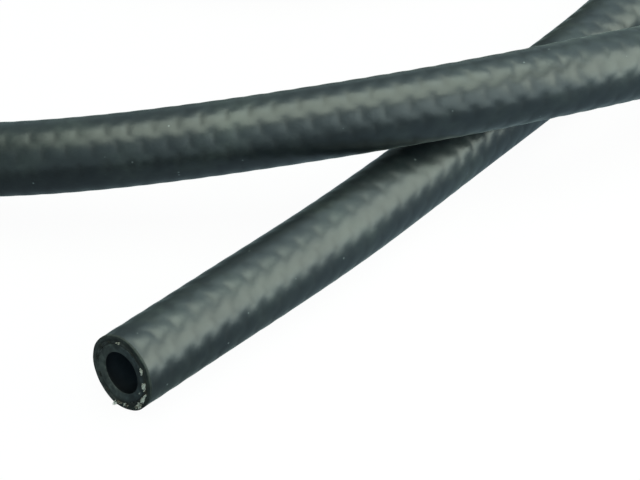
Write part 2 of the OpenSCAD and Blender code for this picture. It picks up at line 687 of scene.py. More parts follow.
def add_attribute(mesh, name, kind, values, domain="POINT"):
    """Give each point or face of a mesh a number or an arrow of its own."""
    key = "value"
    if kind == "FLOAT_VECTOR":
        key, values = "vector", [c for v in values for c in v]
    mesh.attributes.new(name, kind, domain).data.foreach_set(key, values)


def new_object(name, data):
    """A new object in the scene, at the origin."""
    thing = bpy.data.objects.new(name, data)
    bpy.context.scene.collection.objects.link(thing)
    return thing


def knife_wobble(seed, size):
    """Small fixed unevenness round a cut: outward and lengthwise."""
    stride = 12.9898
    phases = [math.fmod(seed * stride * (k + 1), TURN) for k in range(8)]

    def wobble(turn):
        wide = sum(math.sin((k + 2) * turn + phases[k]) / (k + 2) for k in range(4))
        wide += 0.3 * math.sin(23 * turn + phases[2]) * math.sin(5 * turn + phases[6])
        push = sum(math.sin((2 * k + 3) * turn + phases[k + 4]) / (k + 2) for k in range(4))
        return 0.4 * size * wide, size * push

    return wobble


def closed_tube(name, line, mouth, skin, wall, seed):
    """A tube with a real wall. mouth lists the loops over a cut face from the skin to the
    bore (depth, radius, sides, relief, roughness); skin and wall list (s, sides, relief,
    radius) outside and inside."""
    far_seed = seed + 2.3
    # In turn: the front cut from bore to skin, the skin, the other cut, and the wall back
    steps = []
    for k, (depth, radius, sides, relief, rough) in enumerate(reversed(mouth)):
        wobble = knife_wobble(seed, rough)
        steps.append((depth, radius, sides, relief, wobble, CUT if k > 1 else WALL))
    for s, sides, relief, radius in skin:
        steps.append((s, radius, sides, relief, None, SKIN))
    for k, (depth, radius, sides, relief, rough) in enumerate(mouth):
        wobble = knife_wobble(far_seed, rough)
        part = SKIN if k == 0 else WALL if k == len(mouth) - 1 else CUT
        steps.append((line.length - depth, radius, sides, relief, wobble, part))
    for s, sides, relief, radius in reversed(wall):
        steps.append((s, radius, sides, relief, None, WALL))
    shell = TubeShell(line)
    for *loop, finish in steps:
        now = shell.loop(*loop)
        if now > 0:
            shell.bridge(now - 1, now, finish)
    shell.bridge(now, 0, WALL)
    return shell.object(name)


def finished(thing, sharp=50.0):
    """Turn a closed shell's faces outward and keep its edges crisp."""
    bm = bmesh.new()
    bm.from_mesh(thing.data)
    bmesh.ops.recalc_face_normals(bm, faces=bm.faces)
    bm.to_mesh(thing.data)
    bm.free()
    thing.data.set_sharp_from_angle(angle=math.radians(sharp))


# ---------------------------------------------------------------- node helpers


class Tree:
    """A node tree, filled with short calls."""

    def __init__(self, tree):
        self.tree = tree

    def feed(self, socket, value):
        """Link a socket to another one, or set a value of its own."""
        if isinstance(value, bpy.types.NodeSocket):
            self.tree.links.new(value, socket)
        else:
            socket.default_value = value

    def fill(self, node, values):
        """Feed several inputs of a node, told by name or number."""
        for key, value in values.items():
            self.feed(node.inputs[key], value)

    def add(self, kind, values=None, **settings):
        """A new node with its settings and its inputs."""
        node = self.tree.nodes.new(kind)
        for key, value in settings.items():
            setattr(node, key, value)
        self.fill(node, values or {})
        return node

    def math(self, operation, *values):
        """One step of arithmetic."""
        node = self.add("ShaderNodeMath", dict(enumerate(values)), operation=operation)
        return node.outputs[0]

    def product(self, first, *others):
        """All the values multiplied, from left to right."""
        for value in others:
            first = self.math("MULTIPLY", first, value)
        return first

    def total(self, first, *others):
        """All the values added, from left to right."""
        for value in others:
            first = self.math("ADD", first, value)
        return first

    def wave(self, x, count=1):
        """A cosine wave with count crests to each whole step of x."""
        return self.math("COSINE", self.math("MULTIPLY", x, TURN * count))

    def vector(self, operation, *values):
        """One step of arithmetic with vectors."""
        places = (0, 3) if operation == "SCALE" else (0, 1, 2)
        inputs = dict(zip(places, values))
        node = self.add("ShaderNodeVectorMath", inputs, operation=operation)
        return node.outputs[1 if operation in ("DOT_PRODUCT", "DISTANCE") else 0]

    def split(self, vector):
        """The X, Y and Z of a vector or colour."""
        return self.add("ShaderNodeSeparateXYZ", {"Vector": vector}).outputs

    def ramp(self, factor, low, high, start=0.0, end=1.0, kind="SMOOTHSTEP"):
        """From start to end as the factor goes from low to high."""
        node = self.add(
            "ShaderNodeMapRange",
            {
                "Value": factor,
                "From Min": low,
                "From Max": high,
                "To Min": start,
                "To Max": end,
            },
            interpolation_type=kind,
        )
        return node.outputs["Result"]

    def mix_colour(self, factor, one, two):
        """From colour one to colour two as the factor goes from 0 to 1."""
        node = self.add("ShaderNodeMix", {0: factor, 6: one, 7: two}, data_type="RGBA")
        return node.outputs[2]

    def noise(self, coordinates, scale, detail=2.0, roughness=0.5, output="Fac"):
        """Soft noise: one value, or three with the output Color."""
        return self.add(
            "ShaderNodeTexNoise",
            {
                "Vector": coordinates,
                "Scale": scale,
                "Detail": detail,
                "Roughness": roughness,
            },
        ).outputs[output]

    def bump(self, height, strength, distance, **under):
        """The normal that a height gives, on top of the one that is under it."""
        values = {"Height": height, "Strength": strength, "Distance": distance, **under}
        return self.add("ShaderNodeBump", values).outputs[0]


def geometry_tree(name, **inputs):
    """A geometry tree with inputs named by their kind; gives the tree and its two ends."""
    group = bpy.data.node_groups.new(name, "GeometryNodeTree")
    sides = group.interface
    sides.new_socket("Geometry", in_out="INPUT", socket_type="NodeSocketGeometry")
    for kind, labels in inputs.items():
        for label in labels:
            sides.new_socket(label, in_out="INPUT", socket_type="NodeSocket" + kind)
    sides.new_socket("Geometry", in_out="OUTPUT", socket_type="NodeSocketGeometry")
    t = Tree(group)
    return t, t.add("NodeGroupInput").outputs, t.add("NodeGroupOutput").inputs


def attribute(t, name, data_type="FLOAT"):
    """A value that the mesh carries, read in a geometry tree."""
    node = t.add("GeometryNodeInputNamedAttribute", {"Name": name}, data_type=data_type)
    return node.outputs["Attribute"]


def built(thing, t, values):
    """Run a geometry tree on an object and keep the result as its plain mesh."""
    modifier = thing.modifiers.new("build", "NODES")
    modifier.node_group = t.tree
    sockets = [item for item in t.tree.interface.items_tree if item.in_out == "INPUT"]
    names = {socket.name: socket.identifier for socket in sockets}
    for label, value in values.items():
        modifier[names[label]] = value
    bpy.context.view_layer.update()
    depsgraph = bpy.context.evaluated_depsgraph_get()
    mesh = bpy.data.meshes.new_from_object(
        thing.evaluated_get(depsgraph), preserve_all_data_layers=True, depsgraph=depsgraph
    )
    thing.modifiers.remove(modifier)
    old, thing.data = thing.data, mesh
    bpy.data.meshes.remove(old)
    mesh.name = thing.name


def lattice(t, along, around, pitch, rows, turn, start):
    """Distances along and round the hose in steps of the bump lattice."""
    x = t.math("DIVIDE", t.math("SUBTRACT", along, start), pitch)
    y = t.math("SUBTRACT", around, t.math("DIVIDE", turn, TURN))
    return x, t.product(y, t.product(rows, 0.5))


def bump_height(t, x, y):
    """Height of the soft bumps: 1 on a bump, 0 where the lowest points are."""
    across = t.wave(y)
    waves = t.product(t.wave(x), across, 2.0)
    parting = t.math("SUBTRACT", t.product(t.math("POWER", across, 2.0), 2.0), 1.0)
    waves = t.total(waves, t.product(parting, PARTING))
    low = -(1 / (2 * PARTING) + PARTING)
    sunk = t.ramp(waves, 2.0 + PARTING, low, kind="LINEAR")
    return t.math("SUBTRACT", 1.0, t.math("POWER", sunk, 2.0))


def groove_depth(t, x, y):
    """Depth of the narrow grooves between the bumps of a row: 1 in the middle of one."""
    across = t.wave(y)
    depths = []
    for shift, side in ((0.5, 1.0), (0.0, -1.0)):
        away = t.math("SUBTRACT", x, shift)
        away = t.math("SUBTRACT", away, t.math("ROUND", away))
        away = t.math("POWER", t.math("DIVIDE", away, GROOVE_BREADTH), 2.0)
        narrow = t.math("EXPONENT", t.product(away, -1.0))
        in_row = t.ramp(t.product(across, side), 0.0, 1.0)
        depths.append(t.product(narrow, in_row))
    return t.total(*depths)


def relief_left(t, place):
    """How much of the relief's depth is left at a place."""
    left = 1.0
    for middle, reach, loss in FAINT_PLACES:
        away = t.vector("DISTANCE", place, middle)
        lost = t.ramp(away, reach * FAINT_CORE, reach, loss, 0.0)
        left = t.math("SUBTRACT", left, lost)
    return left


def relief_tree(name):
    """Geometry nodes that sink the creases between the bumps into a tube's skin, and
    give its faces their materials."""
    t, given, end = geometry_tree(
        name,
        Float=("Pitch", "Rows", "Turn", "Start", "Depth", "Waver", "Seed"),
        Material=FINISHES,
    )
    place = t.add("GeometryNodeInputPosition").outputs[0]

    def uneven(scale, shift, low, high):
        seed = t.total(given["Seed"], shift)
        texture = t.add(
            "ShaderNodeTexNoise",
            {"Vector": place, "W": seed, "Scale": scale, "Detail": 1.0},
            noise_dimensions="4D",
        )
        return t.ramp(texture.outputs[0], 0.2, 0.8, low, high)

    steps = (given[label] for label in ("Pitch", "Rows", "Turn", "Start"))
    x, y = lattice(t, attribute(t, "along"), attribute(t, "around"), *steps)
    x = t.total(x, uneven(STRAY_SCALE, 0.0, -STRAY_ALONG, STRAY_ALONG))
    y = t.total(y, uneven(STRAY_SCALE, 4.0, -STRAY_AROUND, STRAY_AROUND))
    sunk = t.math("SUBTRACT", 1.0, bump_height(t, x, y))
    unequal = uneven(130.0, 8.0, 0.6, 1.1)
    sunk = t.product(sunk, given["Depth"], unequal, relief_left(t, place))
    slow = t.product(uneven(40.0, 12.0, 0.0, 1.0), given["Waver"])
    inward = t.product(t.total(sunk, slow), -1.0, attribute(t, "relief"))
    offset = t.vector("SCALE", attribute(t, "outward", "FLOAT_VECTOR"), inward)
    shape = t.add(
        "GeometryNodeSetPosition", {"Geometry": given["Geometry"], "Offset": offset}
    )
    shape = t.add("GeometryNodeRealizeInstances", {"Geometry": shape.outputs[0]})
    for number, label in enumerate(FINISHES):
        chosen = t.add(
            "FunctionNodeCompare",
            {2: attribute(t, "finish", "INT"), 3: number},
            data_type="INT",
            operation="EQUAL",
        )
        shape = t.add(
            "GeometryNodeSetMaterial",
            {
                "Geometry": shape.outputs[0],
                "Selection": chosen.outputs[0],
                "Material": given[label],
            },
        )
    t.feed(end["Geometry"], shape.outputs[0])
    return t


# ---------------------------------------------------------------- materials


def new_material(name):
    """A material with an empty tree, and the shader that it shows."""
    material = bpy.data.materials.new(name)
    material.use_nodes = True
    material.node_tree.nodes.clear()
    t = Tree(material.node_tree)
    shader = t.add("ShaderNodeBsdfPrincipled")
    t.add("ShaderNodeOutputMaterial", {"Surface": shader.outputs[0]})
    return material, t, shader


def object_place(t):
    """Where a point of a piece is, in metres."""
    return t.add("ShaderNodeTexCoord").outputs["Object"]


def surface_place(t):
    """The share of a turn round the hose and the distance along it."""
    split = t.split(t.add("ShaderNodeTexCoord").outputs["UV"])
    return split["X"], split["Y"]


def surface_lattice(t, sizes):
    """The bump lattice read from a tube's own surface map."""
    around, along = surface_place(t)
    rows, pitch = float(sizes.relief_rows), sizes.relief_pitch
    return lattice(t, along, around, pitch, rows, sizes.relief_turn, sizes.relief_start)


def satin_cover_rubber(finish, sizes):
    """Black cover rubber: satin, with a faint bloom, fine grain and a few dust specks."""
    material, t, shader = new_material("satin_cover_rubber")
    place = object_place(t)
    bloom = t.noise(place, 60.0, 4.0, 0.6)
    mottle = t.noise(place, 420.0, 3.0, 0.6)
    stray = t.split(t.noise(place, STRAY_SCALE, 1.0, 0.5, "Color"))
    x, y = surface_lattice(t, sizes)
    x = t.total(x, t.ramp(stray["X"], 0.2, 0.8, -STRAY_ALONG, STRAY_ALONG))
    y = t.total(y, t.ramp(stray["Y"], 0.2, 0.8, -STRAY_AROUND, STRAY_AROUND))
    groove = groove_depth(t, x, y)

    # Colour: bloom in patches, dust specks that thin out from the mouth, and painted shade
    # that darkens the grooves
    amount = t.product(t.ramp(bloom, 0.38, 0.78), t.ramp(mottle, 0.3, 0.7, 0.45, 0.9))
    colour = t.mix_colour(amount, finish.cover_colour, finish.bloom_colour)
    cells = t.add("ShaderNodeTexVoronoi", {"Vector": place, "Scale": 520.0}).outputs
    lot = t.split(cells["Color"])["X"]
    along = surface_place(t)[1]
    dust = t.product(
        t.ramp(cells["Distance"], 0.06, 0.15, 0.8, 0.0),
        t.math("GREATER_THAN", lot, t.ramp(along, 0.0, 0.018, 0.7, 0.93)),
    )
    colour = t.mix_colour(dust, colour, finish.dust_colour)
    # Painted shade: the base colour is darkened in the grooves between the bumps, where
    # shade falls
    kept = t.math("SUBTRACT", 1.0, t.product(groove, 0.25))
    rough = finish.cover_roughness
    rough = t.ramp(mottle, 0.25, 0.75, rough - 0.03, rough + 0.05)

    # Relief: what the mesh leaves of the bumps, the grooves between them, and the grain
    raised = t.add("ShaderNodeAttribute", attribute_name="relief").outputs["Fac"]
    share = t.math("SUBTRACT", 1.0, t.product(raised, MESH_SHARE))
    drawn = t.product(bump_height(t, x, y), share)
    drawn = t.math("SUBTRACT", drawn, t.product(groove, GROOVE_SHARE))
    drawn = t.product(
        drawn,
        t.ramp(stray["Z"], 0.25, 0.75, 0.5, 1.2),
        t.ramp(mottle, 0.3, 0.7, 0.8, 1.1),
        relief_left(t, place),
    )
    relief = t.bump(drawn, 1.0, sizes.relief_depth)
    grain = t.product(t.noise(place, 1500.0, 3.0, 0.6), 0.2)
    grain = t.total(grain, t.noise(place, 330.0, 2.0, 0.5))
    t.fill(
        shader,
        {
            "Base Color": t.vector("SCALE", colour, kept),
            "Roughness": t.total(rough, t.product(groove, 0.05)),
            "Specular IOR Level": 0.95,
            "Sheen Weight": 0.27,
            "Sheen Roughness": 0.25,
            "Sheen Tint": (0.9, 1.0, 0.92, 1.0),
            "Normal": t.bump(grain, 0.3, 0.0001, Normal=relief),
        },
    )
    return material


def knife_cut_rubber(name, colour, torn_colour):
    """Rubber on a cut face: matte and dark where the knife went in, torn and paler on the
    far side."""
    material, t, shader = new_material(name)
    place = object_place(t)
    tear = t.noise(place, 900.0, 5.0, 0.7)
    patch = t.noise(place, 330.0, 3.0, 0.6)
    away = t.math("SUBTRACT", surface_place(t)[0], TORN_SIDE)
    shade = t.mix_colour(t.ramp(t.wave(away), -0.6, 0.9), colour, torn_colour)
    grain = t.product(
        t.ramp(tear, 0.3, 0.72, 0.5, 1.3), t.ramp(patch, 0.3, 0.68, 0.6, 1.25)
    )
    t.fill(
        shader,
        {
            "Base Color": t.vector("SCALE", shade, grain),
            "Roughness": t.ramp(tear, 0.3, 0.7, 0.5, 0.7),
            "Specular IOR Level": 0.5,
            "Normal": t.bump(tear, 0.7, 0.0002),
        },
    )
    return material


def bore_rubber(finish, length):
    """The dark wall of the bore, painted darker at the mouths and paler further in, to make
    up for the light that falls off into it.
    """
    material, t, shader = new_material("bore_rubber")
    cloud = t.noise(object_place(t), 240.0, 4.0, 0.6)
    along = surface_place(t)[1]
    depth = t.math("MINIMUM", along, t.math("SUBTRACT", length, along))
    # Painted light: the wall is painted darker at the mouths and paler further in, where
    # less light reaches
    deeper_in = t.ramp(depth, 0.0008, 0.0058, kind="LINEAR")
    shade = t.mix_colour(deeper_in, finish.bore_colour, finish.painted_deep_bore_colour)
    t.fill(
        shader,
        {
            "Base Color": t.vector("SCALE", shade, t.ramp(cloud, 0.3, 0.7, 0.75, 1.25)),
            "Roughness": t.ramp(cloud, 0.3, 0.7, 0.55, 0.7),
            "Specular IOR Level": 0.25,
            "Normal": t.bump(cloud, 0.25, 0.0002),
        },
    )
    return material


def braid_textile(finish, sizes):
    """Crossing yarns, over one and under one, partly soaked with rubber cement."""
    material, t, shader = new_material("braid_textile")
    place = object_place(t)
    x, y = surface_lattice(t, sizes)
    over = t.math("GREATER_THAN", t.product(t.wave(x), t.wave(y)), 0.0)
    across = t.add(
        "ShaderNodeMix",
        {0: over, 2: t.math("SUBTRACT", y, x), 3: t.total(y, x)},
        data_type="FLOAT",
    )
    strand = t.ramp(t.wave(across.outputs[0], YARNS_IN_STRAND), -1.0, 0.6)
    soak = t.noise(place, 300.0, 4.0, 0.6)
    # The yarn is darker where it lies low between the crossings, and in patches that are
    # soaked
    clean = t.product(
        t.ramp(bump_height(t, x, y), 0.0, 0.5, 0.15, 1.0),
        strand,
        t.ramp(soak, 0.35, 0.65, 0.35, 1.0),
    )
    fibre = t.total(strand, t.product(t.noise(place, FIBRE_SCALE), 0.5))
    t.fill(
        shader,
        {
            "Base Color": t.mix_colour(clean, finish.soaked_colour, finish.yarn_colour),
            "Roughness": 0.85,
            "Normal": t.bump(fibre, 0.6, 0.0001),
        },
    )
    return material


def cut_yarn(finish):
    """Yarn ends at a cut: cream where clean, dark where soaked, told by their own tone."""
    material, t, shader = new_material("cut_yarn")
    place = object_place(t)
    tone = t.add("ShaderNodeAttribute", attribute_name="tone").outputs["Fac"]
    stain = t.noise(place, 900.0, 2.0, 0.5)
    clean = t.product(tone, t.ramp(stain, 0.3, 0.62, 0.5, 1.0))
    half = t.ramp(clean, 0.2, 0.42)
    colour = t.mix_colour(half, finish.soaked_colour, finish.stained_colour)
    colour = t.mix_colour(t.ramp(clean, 0.38, 0.85), colour, finish.yarn_colour)
    fibre = t.noise(place, FIBRE_SCALE, 2.0, 0.6)
    t.fill(
        shader,
        {"Base Color": colour, "Roughness": 0.8, "Normal": t.bump(fibre, 0.5, 0.00005)},
    )
    return material


# ---------------------------------------------------------------- the hose's three tubes


def stations(first, last, step):
    """Distances from first to last, both included, a step apart."""
    return np.arange(first, last + 0.01 * step, step)


def plain_stations(line, step):
    """Distances of the loops inside a tube, a step apart, from one mouth to the other."""
    return stations(step, line.length - MOUTH_CLEAR, step)


def round_outside(radius, sides):
    """Radius of a loop of few sides whose flats lie on a round one."""
    return radius / math.cos(math.pi / sides)


def dressed(thing, t, sizes, depth, waver, seed, materials):
    """Give a tube its relief, and its materials for skin, cut and wall."""
    values = {
        "Pitch": sizes.relief_pitch,
        "Rows": float(sizes.relief_rows),
        "Turn": sizes.relief_turn,
        "Start": sizes.relief_start,
        "Depth": depth,
        "Waver": waver,
        "Seed": seed,
    }
    values.update(zip(FINISHES, materials))
    built(thing, t, values)


class HOSE_OT_cover(bpy.types.Operator):
    """Build the outer rubber cover, with the bumps that the braid raises in it"""

    bl_idname = "hose.cover"
    bl_label = "Cover"

    def execute(self, context):
        sizes, finish = context.scene.hose_sizes, context.scene.hose_finish
        line = HoseLine(sizes)
        outer, inner, pitch = sizes.hose_radius, sizes.braid_radius, sizes.relief_pitch
        fine, fade = pitch / 8, 3 * pitch
        front_fine = math.ceil(FRONT_FINE / pitch) * pitch
        cross_fine = line.length - math.ceil(CROSS_FINE / pitch) * pitch
        plain = (front_fine + fade, cross_fine - fade)
        count = math.ceil((plain[1] - plain[0]) / pitch)
        last = line.length - 1.5 * fine
        skin = [(s, FINE_SIDES) for s in stations(2 * fine, plain[0], fine)]
        skin += [(s, PLAIN_SIDES) for s in np.linspace(*plain, count + 1)[1:-1]]
        skin += [(s, FINE_SIDES) for s in stations(plain[1], last, fine)]

        def relief(s):
            nearest = min(abs(s - front_fine), abs(s - cross_fine))
            if front_fine < s < cross_fine:
                return max(0.0, 1 - nearest / fade)
            return 1.0

        sides = 16
        inside = round_outside(inner, sides)
        within = plain_stations(line, 6 * MM)
        thing = closed_tube(
            "cover",
            line,
            (
                (0.0005, outer, FINE_SIDES, 1.0, 0.0),
                (0.00012, outer - 0.00001, FINE_SIDES, 1.0, 0.00003),
                (0.00004, outer - 0.00005, FINE_SIDES, 0.9, 0.00006),
                (0.0, outer - 0.00012, FINE_SIDES, 0.7, 0.00008),
                (-0.00003, (outer + inner) / 2, FINE_SIDES, 0.0, 0.00009),
                (0.0, inner + 0.00012, FINE_SIDES, 0.0, 0.00007),
                (0.0001, inner + 0.00002, FINE_SIDES, 0.0, 0.00002),
                (0.001, inside, sides, 0.0, 0.0),
            ),
            [(s, around, relief(s), outer) for s, around in skin],
            [(s, sides, 0.0, inside) for s in within],
            seed=1.7,
        )
        cut = knife_cut_rubber(
            "knife_cut_cover", finish.cover_cut_colour, finish.cover_torn_colour
        )
        dressed(
            thing,
            relief_tree("cover_relief"),
            sizes,
            depth=MESH_SHARE * sizes.relief_depth,
            waver=sizes.waver,
            seed=3.0,
            materials=(satin_cover_rubber(finish, sizes), cut, cut),
        )
        finished(thing)
        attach(thing, "root")
        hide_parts(*("cover_" + part for part in STRETCHES))
        return {"FINISHED"}


class HOSE_OT_braid(bpy.types.Operator):
    """Build the textile braid between the cover and the liner"""

    bl_idname = "hose.braid"
    bl_label = "Braid"

    def execute(self, context):
        sizes, finish = context.scene.hose_sizes, context.scene.hose_finish
        line = HoseLine(sizes)
        outer, inner = sizes.braid_radius - SLACK, sizes.liner_radius
        middle, half = (outer + inner) / 2, sizes.relief_pitch / 2
        sides = 24
        inside = round_outside(inner, sides)
        crossings = stations(sizes.relief_start, line.length - 0.002, half)
        within = plain_stations(line, 8 * MM)
        thing = closed_tube(
            "braid",
            line,
            (
                (0.0004, outer, FINE_SIDES, 0.0, 0.0),
                (0.0001, outer, FINE_SIDES, 0.0, 0.00004),
                (0.00004, middle, FINE_SIDES, 0.0, 0.00009),
                (0.0001, inner + 0.00002, FINE_SIDES, 0.0, 0.00004),
                (0.0004, inside, sides, 0.0, 0.0),
            ),
            [(s, sides, 1.0, outer) for s in crossings],
            [(s, sides, 0.0, inside) for s in within],
            seed=6.0,
        )
        textile = braid_textile(finish, sizes)
        soaked = knife_cut_rubber(
            "soaked_braid_cut", finish.soaked_colour, finish.cover_torn_colour
        )
        dressed(
            thing,
            relief_tree("braid_relief"),
            sizes,
            depth=0.00025,
            waver=0.00002,
            seed=9.0,
            materials=(textile, soaked, textile),
        )
        finished(thing)
        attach(thing, "root")
        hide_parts(*("braid_" + part for part in STRETCHES))
        return {"FINISHED"}


class HOSE_OT_liner(bpy.types.Operator):
    """Build the inner rubber liner with its open bore and rounded inner lip"""

    bl_idname = "hose.liner"
    bl_label = "Liner"

    def execute(self, context):
        sizes, finish = context.scene.hose_sizes, context.scene.hose_finish
        line = HoseLine(sizes)
        outer, bore = sizes.liner_radius - SLACK, sizes.bore_radius
        steps = plain_stations(line, 6 * MM)
        thing = closed_tube(
            "liner",
            line,
            (
                (0.0006, outer, PLAIN_SIDES, 0.0, 0.0),
                (0.00012, outer, FINE_SIDES, 0.0, 0.00002),
                (-0.00002, outer - 0.00006, FINE_SIDES, 0.0, 0.00005),
                (-0.00006, outer - 0.00022, FINE_SIDES, 0.0, 0.00006),
                (-0.00004, outer - 0.0006, FINE_SIDES, 0.0, 0.00008),
                (0.0, bore + 0.00024, FINE_SIDES, 0.0, 0.00005),
                (0.00003, bore + 0.00012, FINE_SIDES, 0.0, 0.00004),
                (0.00009, bore + 0.00004, FINE_SIDES, 0.0, 0.00003),
                (0.0002, bore, FINE_SIDES, 0.0, 0.0),
                (0.0012, bore, PLAIN_SIDES, 0.0, 0.0),
            ),
            [(s, PLAIN_SIDES, 0.0, outer) for s in steps],
            [(s, PLAIN_SIDES, 0.0, bore) for s in steps],
            seed=2.0,
        )
        wall = bore_rubber(finish, line.length)
        cut = knife_cut_rubber(
            "knife_cut_liner", finish.liner_cut_colour, finish.liner_torn_colour
        )
        dressed(
            thing,
            relief_tree("liner_finish"),
            sizes,
            depth=0.0,
            waver=0.0,
            seed=1.0,
            materials=(wall, cut, wall),
        )
        finished(thing, sharp=60.0)
        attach(thing, "root")
        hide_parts(*("liner_" + part for part in STRETCHES))
        return {"FINISHED"}


# ---------------------------------------------------------------- yarn ends at the cuts


# What each seat of a yarn bundle carries
SEAT_VALUES = {
    "out": "FLOAT_VECTOR",
    "round": "FLOAT_VECTOR",
    "lean": "FLOAT_VECTOR",
    "tone": "FLOAT",
    "reach": "FLOAT",
    "broad": "FLOAT",
    "deep": "FLOAT",
    "strands": "INT",
}


def yarn_seats(line, sizes):
    """The places where yarn stands out of the cut faces, and how it leans there. The
    yarns at the crossing mouth are turned round and their loose fibres are shorter."""
    seats = []
    for s, way_out, spin, spare in ((0.0, -1.0, 0, 1.0), (line.length, 1.0, 105, 0.6)):
        middle, way, side, up = (v[0] for v in line.at(s))
        face = way_out * way

        def seat(turn, radius, depth, values):
            """One more seat at this mouth; turn in degrees, radius and depth in MM."""
            a = math.radians(turn + spin)
            out = math.cos(a) * side + math.sin(a) * up
            round_way = -math.sin(a) * side + math.cos(a) * up
            radius = line.swollen(s, radius * MM)
            shift = line.cut_shift(s, radius, a)
            place = middle + radius * out - depth * MM * face + shift * way
            seats.append({"place": place, "out": out, "round": round_way, **values})
            return seats[-1]

        for turn, radius, tone, broad, deep in BUNDLES:
            strands = int(round(sizes.yarn_strands * broad * deep))
            values = {"tone": tone, "broad": broad, "deep": deep, "strands": strands}
            made = seat(turn, radius, BUNDLE_ROOT, values)
            made["lean"] = face
            made["reach"] = (STAND_OUT + CLEAN_STAND_OUT * tone) * MM
        for turn, radius, reach, strands, outward, aside in FRAYS:
            values = {"tone": FRAY_TONE, "broad": FRAY_SIZE, "deep": FRAY_SIZE}
            made = seat(turn, radius, FRAY_ROOT, {**values, "strands": strands})
            made["lean"] = face + outward * made["out"] + aside * made["round"]
            made["reach"] = reach * spare * MM
    return seats


def yarn_tree(name):
    """Geometry nodes that grow a bundle of bent fibres out of each seat."""
    t, given, end = geometry_tree(
        name,
        Float=("Bundle breadth", "Bundle depth", "Strand radius", "Splay"),
        Int=("Seed",),
        Material=("Yarn",),
    )
    seats = t.add("GeometryNodeMeshToPoints", {"Mesh": given["Geometry"]})
    many = t.add(
        "GeometryNodeDuplicateElements",
        {"Geometry": seats.outputs[0], "Amount": attribute(t, "strands", "INT")},
        domain="POINT",
    )

    def chance(shift, low, high):
        seed = t.total(given["Seed"], float(shift))
        values = {2: low, 3: high, 8: seed}
        return t.add("FunctionNodeRandomValue", values, data_type="FLOAT").outputs[1]

    angle = chance(1, 0.0, TURN)
    far = t.math("SQRT", chance(2, 0.0, 1.0))
    broad = t.product(t.math("COSINE", angle), given["Bundle breadth"])
    deep = t.product(t.math("SINE", angle), given["Bundle depth"])
    parts = []
    for amount, size, arm in ((broad, "broad", "round"), (deep, "deep", "out")):
        amount = t.product(amount, far, attribute(t, size))
        parts.append(t.vector("SCALE", attribute(t, arm, "FLOAT_VECTOR"), amount))
    placed = t.add(
        "GeometryNodeSetPosition",
        {"Geometry": many.outputs["Geometry"], "Offset": t.vector("ADD", *parts)},
    )
    lean = attribute(t, "lean", "FLOAT_VECTOR")
    for shift, arm in ((3, "round"), (4, "out")):
        tilt = t.product(chance(shift, -1.0, 1.0), given["Splay"])
        tilt = t.vector("SCALE", attribute(t, arm, "FLOAT_VECTOR"), tilt)
        lean = t.vector("ADD", lean, tilt)
    turned = t.add("FunctionNodeAlignRotationToVector", {"Vector": lean}, axis="Z")
    reach = t.product(attribute(t, "reach"), chance(5, 0.6, 1.15))
    stretch = t.add("ShaderNodeCombineXYZ", {"X": MM, "Y": MM, "Z": reach})
    fibre = t.add("GeometryNodeCurvePrimitiveLine", {"End": (0.0, 0.0, 1.0)})
    fibre = t.add("GeometryNodeResampleCurve", {"Curve": fibre.outputs[0], "Count": 4})
    grown = t.add(
        "GeometryNodeInstanceOnPoints",
        {
            "Points": placed.outputs[0],
            "Instance": fibre.outputs[0],
            "Rotation": turned.outputs[0],
            "Scale": stretch.outputs[0],
        },
    )
    real = t.add("GeometryNodeRealizeInstances", {"Geometry": grown.outputs[0]})
    along = t.add("GeometryNodeSplineParameter").outputs["Factor"]
    place = t.add("GeometryNodeInputPosition").outputs[0]
    drift = t.noise(place, 2600.0, 1.0, 0.5, "Color")
    drift = t.vector("SUBTRACT", drift, (0.5, 0.5, 0.5))
    bend = t.product(t.math("POWER", along, 2.0), 0.5 * MM)
    drift = t.vector("SCALE", drift, bend)
    bent = t.add("GeometryNodeSetPosition", {"Geometry": real.outputs[0], "Offset": drift})
    profile = t.add(
        "GeometryNodeCurvePrimitiveCircle",
        {"Resolution": 5, "Radius": given["Strand radius"]},
    )
    solid = t.add(
        "GeometryNodeCurveToMesh",
        {"Curve": bent.outputs[0], "Profile Curve": profile.outputs[0], "Fill Caps": True},
    )
    smooth = t.add(
        "GeometryNodeSetShadeSmooth", {"Geometry": solid.outputs[0], "Shade Smooth": True}
    )
    real = t.add("GeometryNodeRealizeInstances", {"Geometry": smooth.outputs[0]})
    dyed = t.add(
        "GeometryNodeSetMaterial", {"Geometry": real.outputs[0], "Material": given["Yarn"]}
    )
    t.feed(end["Geometry"], dyed.outputs[0])
    return t


class HOSE_OT_yarn_ends(bpy.types.Operator):
    """Build the cut yarn ends and loose fibres that stand out of both cut faces"""

    bl_idname = "hose.yarn_ends"
    bl_label = "Yarn ends"

    def execute(self, context):
        sizes, finish = context.scene.hose_sizes, context.scene.hose_finish
        seats = yarn_seats(HoseLine(sizes), sizes)
        mesh = bpy.data.meshes.new("yarn_ends")
        mesh.from_pydata([tuple(seat["place"]) for seat in seats], [], [])
        for key, kind in SEAT_VALUES.items():
            add_attribute(mesh, key, kind, [seat[key] for seat in seats])
        thing = new_object("yarn_ends", mesh)
        values = {
            "Bundle breadth": BUNDLE_BREADTH,
            "Bundle depth": BUNDLE_DEPTH,
            "Strand radius": sizes.strand_radius,
            "Splay": 0.35,
            "Seed": 11,
            "Yarn": cut_yarn(finish),
        }
        built(thing, yarn_tree("yarn_ends"), values)
        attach(thing, "root")
        return {"FINISHED"}


# ---------------------------------------------------------------- stage


def soft_box(name, place, aim, width, height, radiance, colour):
    """A rectangular lamp whose face has the given brightness."""
    lamp = bpy.data.lights.new(name, "AREA")
    lamp.shape = "RECTANGLE"
    lamp.size, lamp.size_y = width, height
    lamp.energy = radiance * math.pi * width * height
    lamp.color = colour
    thing = new_object(name, lamp)
    thing.location = place
    thing.rotation_euler = (Vector(aim) - Vector(place)).to_track_quat("-Z", "Y").to_euler()
    thing.visible_camera = False


